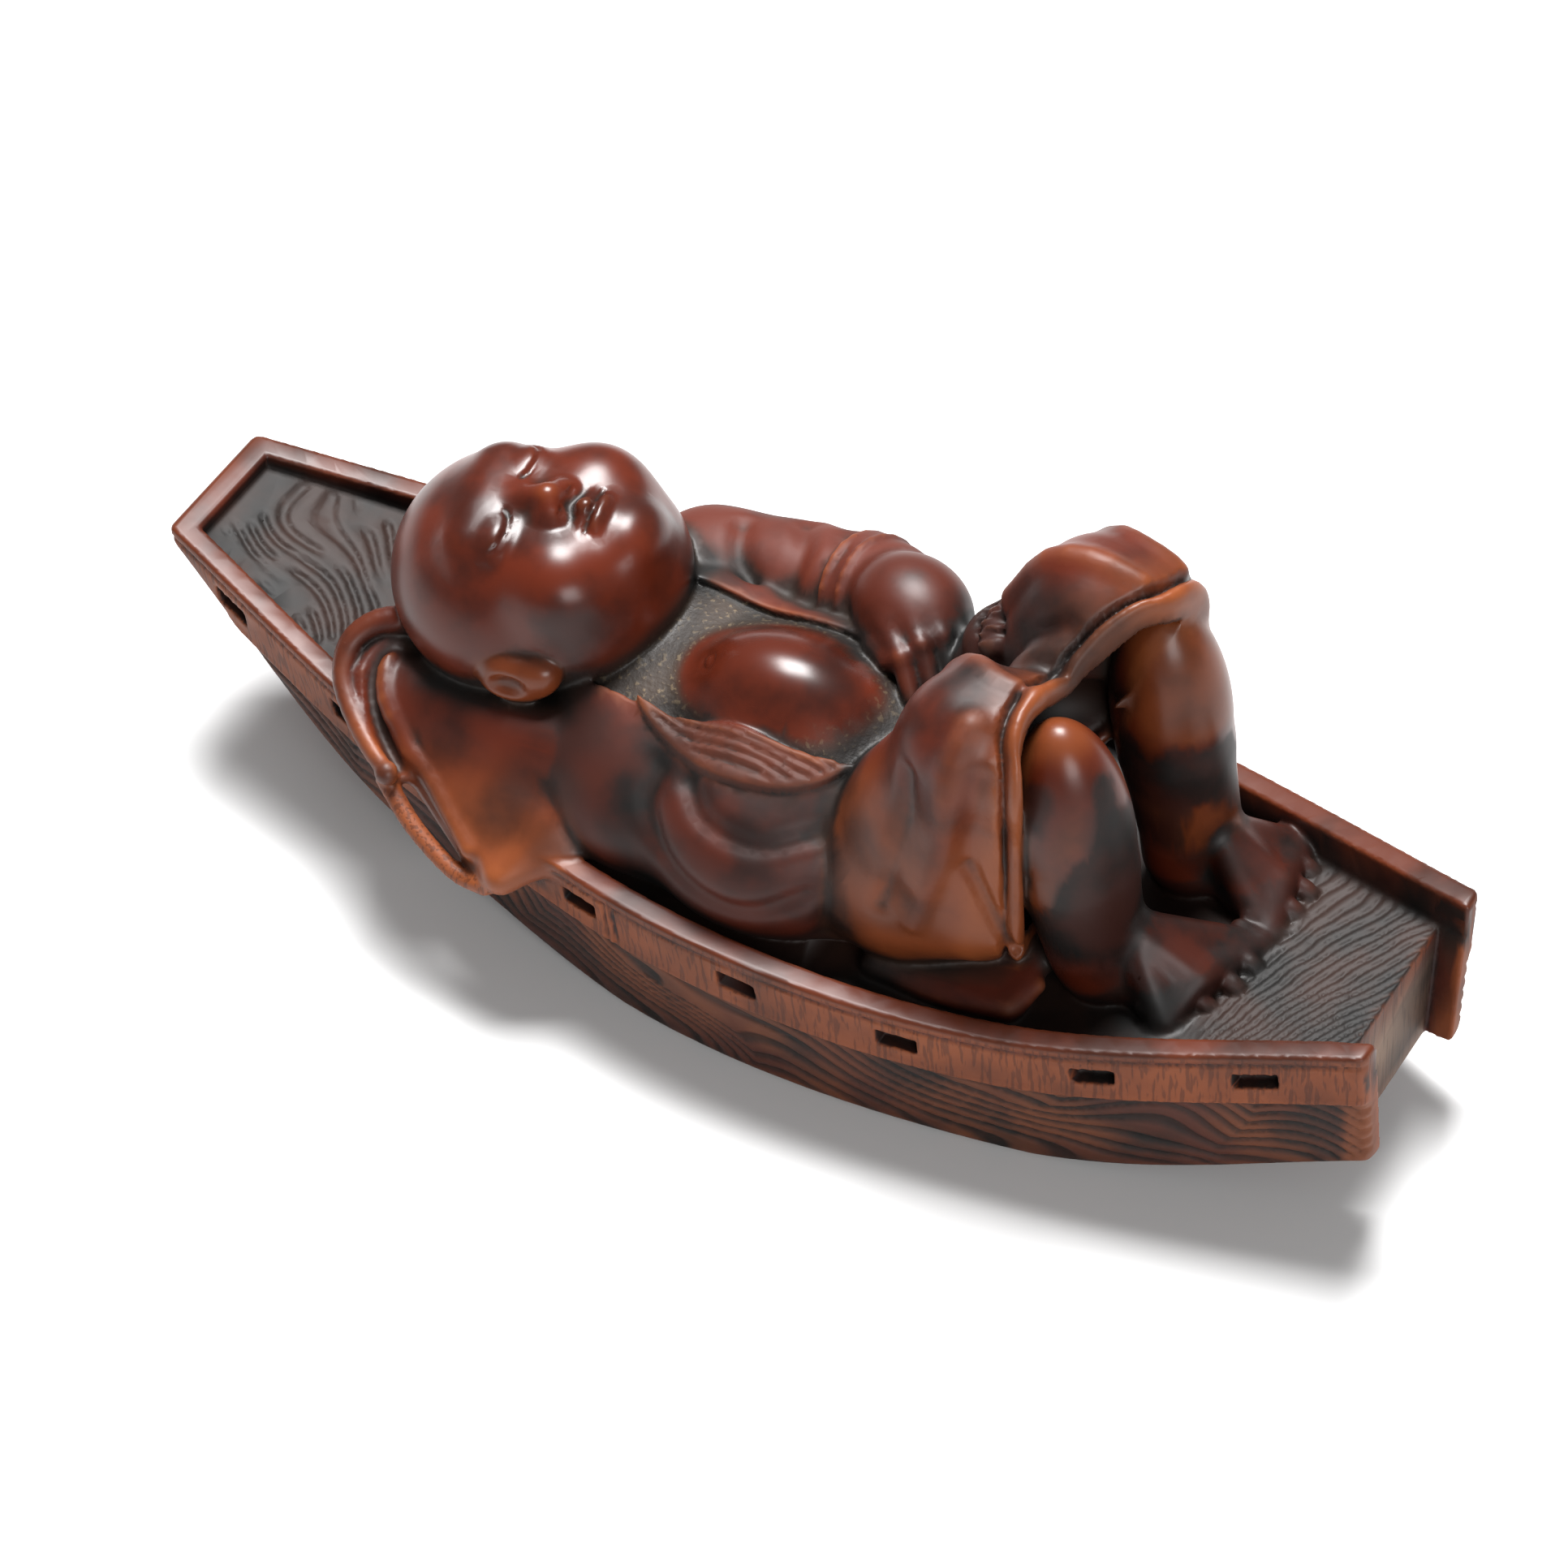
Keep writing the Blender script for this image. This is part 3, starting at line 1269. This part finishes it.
on_transom = on_transom * (1 - fade(np.abs(y) - transom_half, -0.3, -0.05)) * fade(-above_deck, 0, 0.3)
on_deck = (1 - fade(above_deck, 0.1, 0.5)) * fade(inner - np.abs(y), -0.1, 0.1) * fade(above_deck, -0.5, -0.3)
on_deck = on_deck * (1 - on_figure) * (1 - on_transom)
on_rail = (1 - on_figure) * (1 - on_side) * (1 - on_deck) * (1 - on_transom) * fade(above_deck, 0.2, 0.6)
inner_wall = (1 - on_figure) * fade(inner + 0.4 - np.abs(y), 0, 0.1) * fade(sheer(x) - z, 0.2, 0.45)
inner_wall = inner_wall * fade(above_deck, -0.1, 0.1) * (x < HALF_LENGTH - 0.2)
stern_strip = on_side * fade(x, HALF_LENGTH - 1.3, HALF_LENGTH - 0.8)
print("Deck", round(float(on_deck.mean()), 3), "strake", round(float(on_strake.mean()), 3))

# %% [markdown]
# ## Regions of the figure
# The figure's regions are found the same way. Some end at a line as well: the chest ends where the
# robe opens, and the polished belly is only what rises above the cloth.

# %% Regions of the figure
on_belly = near(belly(), 0.7) * fade(z, 13.9, 15.4)
bare_chest = near(body, 0.35) * (y > near_opening(x)) * (y < far_opening(x)) * fade(z, 11, 13)
bare_chest = bare_chest * (1 - on_belly)
head_skin = near(head(), 0.6)
on_shins = np.maximum(near(shin_pair[0], 0.5), near(shin_pair[1], 0.5)) * fade(z, 9, 10.5)
on_sleeve = near(near_sleeve, 0.7)
on_thighs = near(cloth_over_knees, 0.5)
on_hand = near(hand, 0.4)
on_lapel = near(cloth_lapel, 0.2) * fade(near_opening(x) - y, -0.3, 0)
on_feet = near(blend(0.1, *[foot(*parts) for parts in FEET]), 0.5)
on_toes = near(blend(0.1, *[toe for parts in FEET for toe in toes(*parts[3:])]), 0.5)
on_sash = near(sash, 0.5)
flank = near(cloth_body, 0.4) * (1 - on_lapel) * fade(near_opening(x) - y, 0.2, 1.2)
print("Figure", round(float(on_figure.mean()), 3), "head", round(float(head_skin.mean()), 3))

# %% [markdown]
# ## Stain, wear, polish and dust
# Four masks carry the finish to the material. Black stain pools in hollows and was left in patches
# on the calves, the knees and the sleeve. Wear brings out the orange wood on ridges, on the strake
# and where the cloth hangs lowest. Polish follows the leaf and the hand, and grey dust settles on
# the roughened chest and the deck. The patches come first, since several masks share them.

# %% Patches that the carver left
blotch = wander(x, y, z, 3.6) + 0.5 * wander(x, y, z, 1.5)
hollow = fade(fine_share, 0.53, 0.66) + 0.8 * fade(middle_share, 0.53, 0.66) + fade(deep_share, 0.51, 0.66)
inside_skirt = near(under_the_hem(thighs()), 0.35) * (1 - on_shins) * (1 - on_hand)
ridge = 0.8 * fade(-fine_share, -0.44, -0.32) + 0.6 * fade(-middle_share, -0.4, -0.26)
calf_patch = on_shins * fade(1.6 * blotch + 0.14 * (14.8 - z), -0.05, 0.3)
knee_patch = on_thighs * (1 - fade(np.hypot(x - 11.4, (y + 3.2) * 0.9), 0.8, 2.4)) * fade(z, 17, 19)
thigh_saddle = on_thighs * (1 - fade(np.abs(y - 0.4), 1.0, 2.6)) * fade(z, 16, 18)
sleeve_patch = on_sleeve * (1 - fade(np.hypot(x + 8.9, y + 8.9), 0.5, 1.9))
hem_roll = on_thighs * (1 - fade(np.abs(x - hem_reach(y) - 0.1), 0.2, 0.55))
low_on_thigh = on_thighs * fade(-y, 3.5, 6) * (1 - fade(z, 14, 19))
sleeve_fall = on_sleeve * fade(-y, 7, 10.5)
little_rubbed = np.maximum.reduce([on_deck, on_rail, head_skin, on_feet, on_hand])
print("Hollow", round(float(hollow.mean()), 3), "ridge", round(float(ridge.mean()), 3))

# %% [markdown]
# ## Masks as weighted regions
# Each mask is a list of regions with a weight, set by eye. Stain and wear add up where regions
# overlap, as a second coat would, while polish and dust take the strongest one. The masks are
# written to the points of the skin, where the material reads them.

# %% The masks, as weights and regions
STAIN = [
    (0.95, hollow), (0.9, on_deck), (1.0, in_port), (1.5, inner_wall), (1.5, inside_skirt),
    (1.1, on_planks * (1 - stern_strip) * (0.2 + 0.8 * side_grain(x, depth))),
    (0.35, on_strake * fade(blotch, 0.1, 0.9)),
    (1.1, calf_patch), (0.2, on_shins), (0.8, knee_patch), (0.85, thigh_saddle),
    (0.3, on_thighs * fade(blotch, 0, 0.8)), (0.35, on_rail),
    (0.62, flank), (0.3, flank * blotch), (0.45, on_lapel), (0.35, on_feet), (0.7, on_toes),
    (0.9, on_sash), (0.7, sleeve_patch), (0.45, on_sleeve * fade(y, -8.5, -5)),
    (0.4, on_hand * (1 - ridge)), (0.25, on_figure * fade(blotch, 0.1, 0.9)),
]
WEAR = [
    (0.7, ridge * (1 - 0.7 * little_rubbed)), (0.85, on_strake * fade(depth, BEAD_DEPTH, BEAD_DEPTH + 0.2)),
    (0.7, low_on_thigh), (0.75, sleeve_fall), (0.6, on_shins * fade(-blotch, -0.3, 0.5)),
    (0.2, on_lapel), (0.5, hem_roll), (0.45, near(ear(-1), 0.3)),
    (0.85, on_planks * fade(blotch, -0.4, 0.6)), (0.9, stern_strip),
]
POLISH = [
    (0.9, head_skin), (1.0, on_belly), (0.5, on_hand), (0.6, on_thighs), (0.6, on_sleeve), (0.6, on_rail),
    (0.85, on_shins), (0.8, on_feet), (0.4, flank),
]
DUST = [(0.95, bare_chest), (0.55, on_deck), (0.3, on_planks), (0.3, hollow * on_figure)]
MASKS = {
    "stain": sum(weight * region for weight, region in STAIN),
    "wear": sum(weight * region for weight, region in WEAR),
    "polish": np.maximum.reduce([weight * region for weight, region in POLISH]),
    "dust": np.maximum.reduce([weight * region for weight, region in DUST]),
    "stipple": bare_chest,
    "tooling": np.maximum(on_strake, on_transom),
    "end_grain": on_transom * fade(-above_deck, 0.3, 0.8),
}
for name, values in MASKS.items():
    layer = carving.data.attributes.new(name, "FLOAT", "POINT")
    layer.data.foreach_set("value", np.clip(values, 0, 1).astype(np.float32))
    print(name, "covers", round(float(np.clip(values, 0, 1).mean()), 3))

# %% [markdown]
# ## Stained boxwood
# Boxwood is pale yellow, hard and almost without visible grain, so a carver stains it. The stain
# goes on red-brown and then nearly black, and is rubbed back with a polishing leaf until the raised
# forms glow. Wax fills the pores, so a rubbed place is glossy with an index of refraction near 1.5,
# and a hollow that the leaf can't reach stays matte.

# %% Colours, roughness and real sizes
RED_BROWN, DEEP_RED, WORN_ORANGE, BLACK_STAIN = "#4e1b0c", "#240c07", "#783e1f", "#0a0807"
DUSTY_BROWN, PALE_SPECK, PALE_END_GRAIN = "#382e25", "#75644d", "#7c6553"
ROUGH_POLISHED, ROUGH_MATTE = 0.27, 0.62
BOXWOOD_IOR, WAX_GLOSS = 1.5, 0.3
RELIEF_DEPTH, RELIEF_STRENGTH = 0.12, 0.35
# Sizes in mm along x, y and z, and how many finer layers lie on top
PATTERNS = {
    "cloud": ((3.6, 3.6, 3.6), 4.0),
    "speck": ((0.26, 0.26, 0.26), 3.0),
    "tool_mark": ((0.17, 0.17, 2.5), 1.0),
    "tremor": ((1.1, 1.1, 1.1), 2.0),
}


def linear(code):
    """An sRGB hex colour as the linear values that a shader takes."""
    parts = [int(code[i:i + 2], 16) / 255 for i in (1, 3, 5)]
    return (*[part / 12.92 if part <= 0.04045 else ((part + 0.055) / 1.055) ** 2.4 for part in parts], 1)


def add_node(tree, kind, settings=None, inputs=None):
    """Adds a node, sets its properties, and gives each input a value or a link."""
    node = tree.nodes.new(kind)
    for name, value in (settings or {}).items():
        setattr(node, name, value)
    for socket, value in (inputs or {}).items():
        if isinstance(value, bpy.types.NodeSocket):
            tree.links.new(value, node.inputs[socket])
        else:
            node.inputs[socket].default_value = value
    return node


print("Deep red in linear values:", [round(part, 4) for part in linear(DEEP_RED)])

# %% [markdown]
# ## Masks and patterns as signals
# The material works with named signals: a mask painted on the skin above, or a cloudy pattern of a
# real size. Object coordinates are used because the wood is solid: a cloud of stain runs on through
# the block, whatever the knife did to the surface.

# %% Bring masks and patterns into the material
finish = bpy.data.materials.new("stained_boxwood")
finish.use_nodes = True
tree = finish.node_tree
place = add_node(tree, "ShaderNodeTexCoord").outputs["Object"]
signal = {}
for name in MASKS:
    signal[name] = add_node(tree, "ShaderNodeAttribute", {"attribute_name": name}).outputs["Fac"]
for name, (size, detail) in PATTERNS.items():
    per_metre = tuple(1 / (part * MM) for part in size)
    scaled = add_node(tree, "ShaderNodeMapping", None, {"Vector": place, "Scale": per_metre})
    cloudy = {"Vector": scaled.outputs["Vector"], "Scale": 1.0, "Detail": detail}
    signal[name] = add_node(tree, "ShaderNodeTexNoise", None, cloudy).outputs["Fac"]
print("Signals:", ", ".join(signal))

# %% [markdown]
# ## How much of each stain lies where
# A cloudy pattern hovers around a half, so it is stretched until it reads as patches with soft
# edges. Products then keep a pattern inside its mask: specks on the chest, tool marks on the strake.

# %% Stretch and combine the signals
# Each range is a source, where it starts and ends, and what it becomes there
RANGES = {
    "red_share": ("cloud", 0.3, 0.6, 0.2, 1.0),
    "stain_hold": ("cloud", 0.3, 0.6, 1.0, 0.72),
    "rub": ("cloud", 0.3, 0.6, 0.6, 1.0),
    "tool_line": ("tool_mark", 0.5, 0.62, 0.0, 0.45),
    "pale_grain": ("speck", 0.56, 0.68, 0.0, 0.8),
    "dulling": ("stain", 0.3, 1.0, 1.0, 0.45),
    "tremor_left": ("polish", 0.0, 1.0, 0.4, 0.12),
}
PRODUCTS = {
    "worn": ("wear", "rub"), "marks": ("tooling", "tool_line"), "specks": ("stipple", "pale_grain"),
    "stained": ("stain", "stain_hold"), "gloss": ("polish", "dulling"), "pits": ("stipple", "speck"),
    "ripple": ("tremor", "tremor_left"),
}
for name, (source, low, high, start, end) in RANGES.items():
    limits = {"Value": signal[source], "From Min": low, "From Max": high, "To Min": start, "To Max": end}
    stretched = add_node(tree, "ShaderNodeMapRange", {"interpolation_type": "SMOOTHSTEP"}, limits)
    signal[name] = stretched.outputs["Result"]
for name, (first, second) in PRODUCTS.items():
    factors = {0: signal[first], 1: signal[second]}
    signal[name] = add_node(tree, "ShaderNodeMath", {"operation": "MULTIPLY"}, factors).outputs["Value"]
print("Signals now:", len(signal))

# %% [markdown]
# ## Colour in layers
# The colours go on in the carver's order: the deep red ground, the red-brown that was rubbed back,
# orange wood where it wore through, then tool marks, dust, specks, and the black stain over all.

# %% Lay the colours over each other
LAYERS = [
    ("red_share", RED_BROWN), ("worn", WORN_ORANGE), ("end_grain", PALE_END_GRAIN), ("marks", DEEP_RED),
    ("dust", DUSTY_BROWN), ("specks", PALE_SPECK), ("stained", BLACK_STAIN),
]
colour = linear(DEEP_RED)
for share, code in LAYERS:
    mixed = {"Factor": signal[share], "A": colour, "B": linear(code)}
    colour = add_node(tree, "ShaderNodeMix", {"data_type": "RGBA"}, mixed).outputs["Result"]
print("Layers of colour:", len(LAYERS))

# %% [markdown]
# ## Gloss and the tremor of the hand
# Roughness falls from matte wood to waxed wood with the gloss. The relief is a tenth of a millimetre
# at most: pits on the chest, tool marks, and the slight ripple that a knife leaves, which polishing
# takes nearly away.

# %% Finish the shader
shine = {"Value": signal["gloss"], "To Min": ROUGH_MATTE, "To Max": ROUGH_POLISHED}
roughness = add_node(tree, "ShaderNodeMapRange", None, shine).outputs["Result"]
raised = add_node(tree, "ShaderNodeMath", {"operation": "ADD"}, {0: signal["pits"], 1: signal["ripple"]})
scored = {0: signal["marks"], 1: -0.5, 2: raised.outputs["Value"]}
relief = add_node(tree, "ShaderNodeMath", {"operation": "MULTIPLY_ADD"}, scored).outputs["Value"]
height = {"Height": relief, "Strength": RELIEF_STRENGTH, "Distance": RELIEF_DEPTH * MM}
bump = add_node(tree, "ShaderNodeBump", None, height)
shader = tree.nodes["Principled BSDF"]
tree.links.new(colour, shader.inputs["Base Color"])
tree.links.new(roughness, shader.inputs["Roughness"])
tree.links.new(bump.outputs["Normal"], shader.inputs["Normal"])
shader.inputs["IOR"].default_value = BOXWOOD_IOR
shader.inputs["Specular IOR Level"].default_value = WAX_GLOSS
carving.data.materials.append(finish)
print("Finish has", len(tree.nodes), "nodes")

# %% [markdown]
# ## The camera
# A small object is photographed from some distance with a long lens, so that its far end doesn't
# shrink. The camera looks down at the netsuke over its right side, turned a few degrees so that the
# boat lies a little aslant in the picture.

# %% Camera
CAMERA_AZIMUTH, CAMERA_ELEVATION, CAMERA_ROLL = 33.0, 46.8, -3.16
CAMERA_PLACE = Vector((94.38, -146.16, 192.32)) * MM
SENSOR_WIDTH = 36
LENS = 135.2
CLIP_START = 0.01


def add_camera():
    azimuth, elevation, roll = [math.radians(a) for a in (CAMERA_AZIMUTH, CAMERA_ELEVATION, CAMERA_ROLL)]
    back = Vector((math.sin(azimuth) * math.cos(elevation), -math.cos(azimuth) * math.cos(elevation),
                   math.sin(elevation)))
    level = Vector((math.cos(azimuth), math.sin(azimuth), 0))
    rise = back.cross(level)
    right = level * math.cos(roll) + rise * math.sin(roll)
    up = rise * math.cos(roll) - level * math.sin(roll)
    data = bpy.data.cameras.new("camera")
    data.lens = LENS
    data.sensor_width = SENSOR_WIDTH
    data.clip_start = CLIP_START
    camera = bpy.data.objects.new("camera", data)
    camera.matrix_world = Matrix((
        (right.x, up.x, back.x, CAMERA_PLACE.x),
        (right.y, up.y, back.y, CAMERA_PLACE.y),
        (right.z, up.z, back.z, CAMERA_PLACE.z),
        (0, 0, 0, 1),
    ))
    bpy.context.scene.collection.objects.link(camera)
    bpy.context.scene.camera = camera


add_camera()
print("Camera is", round(CAMERA_PLACE.length / MM), "mm from the middle of the boat")

# %% [markdown]
# ## Table and light
# Waxed wood shows its form by what it reflects, so the light is two soft boxes: a key above the far
# side that draws bright windows on head, belly and knees, and a weaker fill from the stern. A pale
# table and a dim pale surround keep the dark hollows readable and no lighter than they are.

# %% Floor and light
FLOOR_HALF_SIZE = 0.6
PALE = (0.6, 0.6, 0.6, 1)
TABLE_ROUGHNESS = 0.9
SURROUND_STRENGTH = 0.25
MIDDLE = (0, 0, 0.01)
# Each soft box: where it hangs, its width and height in metres, and its power in watts
SOFTBOXES = {
    "key": ((-0.05, 0.10, 0.32), (0.13, 0.13), 3.3),
    "fill": ((0.30, -0.25, 0.20), (0.2, 0.16), 1.1),
}


def add_floor():
    half = FLOOR_HALF_SIZE
    corners = [(-half, -half, 0), (half, -half, 0), (half, half, 0), (-half, half, 0)]
    mesh = bpy.data.meshes.new("floor")
    mesh.from_pydata(corners, [], [(0, 1, 2, 3)])
    material = bpy.data.materials.new("pale_table")
    material.use_nodes = True
    surface = material.node_tree.nodes["Principled BSDF"]
    surface.inputs["Base Color"].default_value = PALE
    surface.inputs["Roughness"].default_value = TABLE_ROUGHNESS
    mesh.materials.append(material)
    link(mesh, "floor")


def add_softbox(name, hung_at, size, power):
    data = bpy.data.lights.new(name, "AREA")
    data.shape = "RECTANGLE"
    data.size, data.size_y = size
    data.energy = power
    lamp = bpy.data.objects.new(name, data)
    lamp.location = Vector(hung_at)
    lamp.rotation_euler = (Vector(MIDDLE) - lamp.location).to_track_quat("-Z", "Y").to_euler()
    bpy.context.scene.collection.objects.link(lamp)


add_floor()
for name, (hung_at, size, power) in SOFTBOXES.items():
    add_softbox(name, hung_at, size, power)
world = bpy.data.worlds.new("studio")
world.use_nodes = True
backdrop = world.node_tree.nodes["Background"]
backdrop.inputs["Color"].default_value = (1, 1, 1, 1)
backdrop.inputs["Strength"].default_value = SURROUND_STRENGTH
bpy.context.scene.world = world
bpy.context.scene.view_settings.view_transform = "Standard"
print("Lights:", ", ".join(SOFTBOXES))
